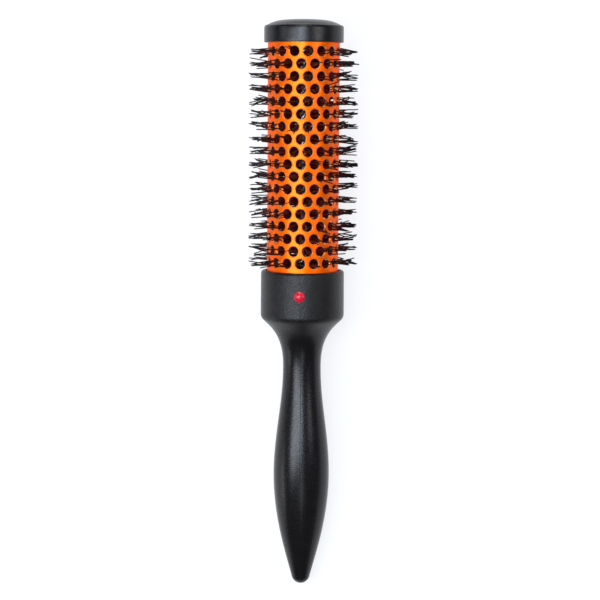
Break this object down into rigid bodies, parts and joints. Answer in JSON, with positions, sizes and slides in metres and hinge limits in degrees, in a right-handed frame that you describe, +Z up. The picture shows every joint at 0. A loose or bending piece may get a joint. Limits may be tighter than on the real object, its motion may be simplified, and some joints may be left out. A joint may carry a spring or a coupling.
{
  "type": "round barrel brush",
  "caption": "Round hair brush with a vented metal barrel, nylon bristles through its holes, a domed end cap and a collared moulded handle with a lock pin.",
  "frame": {"origin": "on the surface the brush lies on, under the middle of its bounding box", "axes": "+Z up with the lock pin on top; +Y along the brush as it lies, from the grip's tip to the end cap, which its bristles hold 6.9 degrees higher; +X to the right across the barrel"},
  "size_m": [0.0516, 0.2628, 0.0628],
  "materials": {
    "handle_black": "satin",
    "cap_black": "satin",
    "barrel_orange": "gloss",
    "bristle_black": "satin",
    "pin_red": "gloss",
    "plug_black": "matte",
    "wire_steel": "satin"
  },
  "bodies": {
    "root": {"handle": "handle_black", "barrel": "barrel_orange", "end_cap": "cap_black", "lock_pin": "pin_red", "core_plug": "plug_black", "core_wire_a": "wire_steel", "core_wire_b": "wire_steel", "bristle_row_01": "bristle_black", "bristle_row_02": "bristle_black", "bristle_row_03": "bristle_black", "bristle_row_04": "bristle_black", "bristle_row_05": "bristle_black", "bristle_row_06": "bristle_black", "bristle_row_07": "bristle_black", "bristle_row_08": "bristle_black", "bristle_row_09": "bristle_black", "bristle_row_10": "bristle_black", "bristle_row_11": "bristle_black", "bristle_row_12": "bristle_black", "bristle_row_13": "bristle_black", "bristle_row_14": "bristle_black", "bristle_row_15": "bristle_black", "bristle_row_16": "bristle_black", "bristle_row_17": "bristle_black", "bristle_row_18": "bristle_black"}
  },
  "joints": []
}
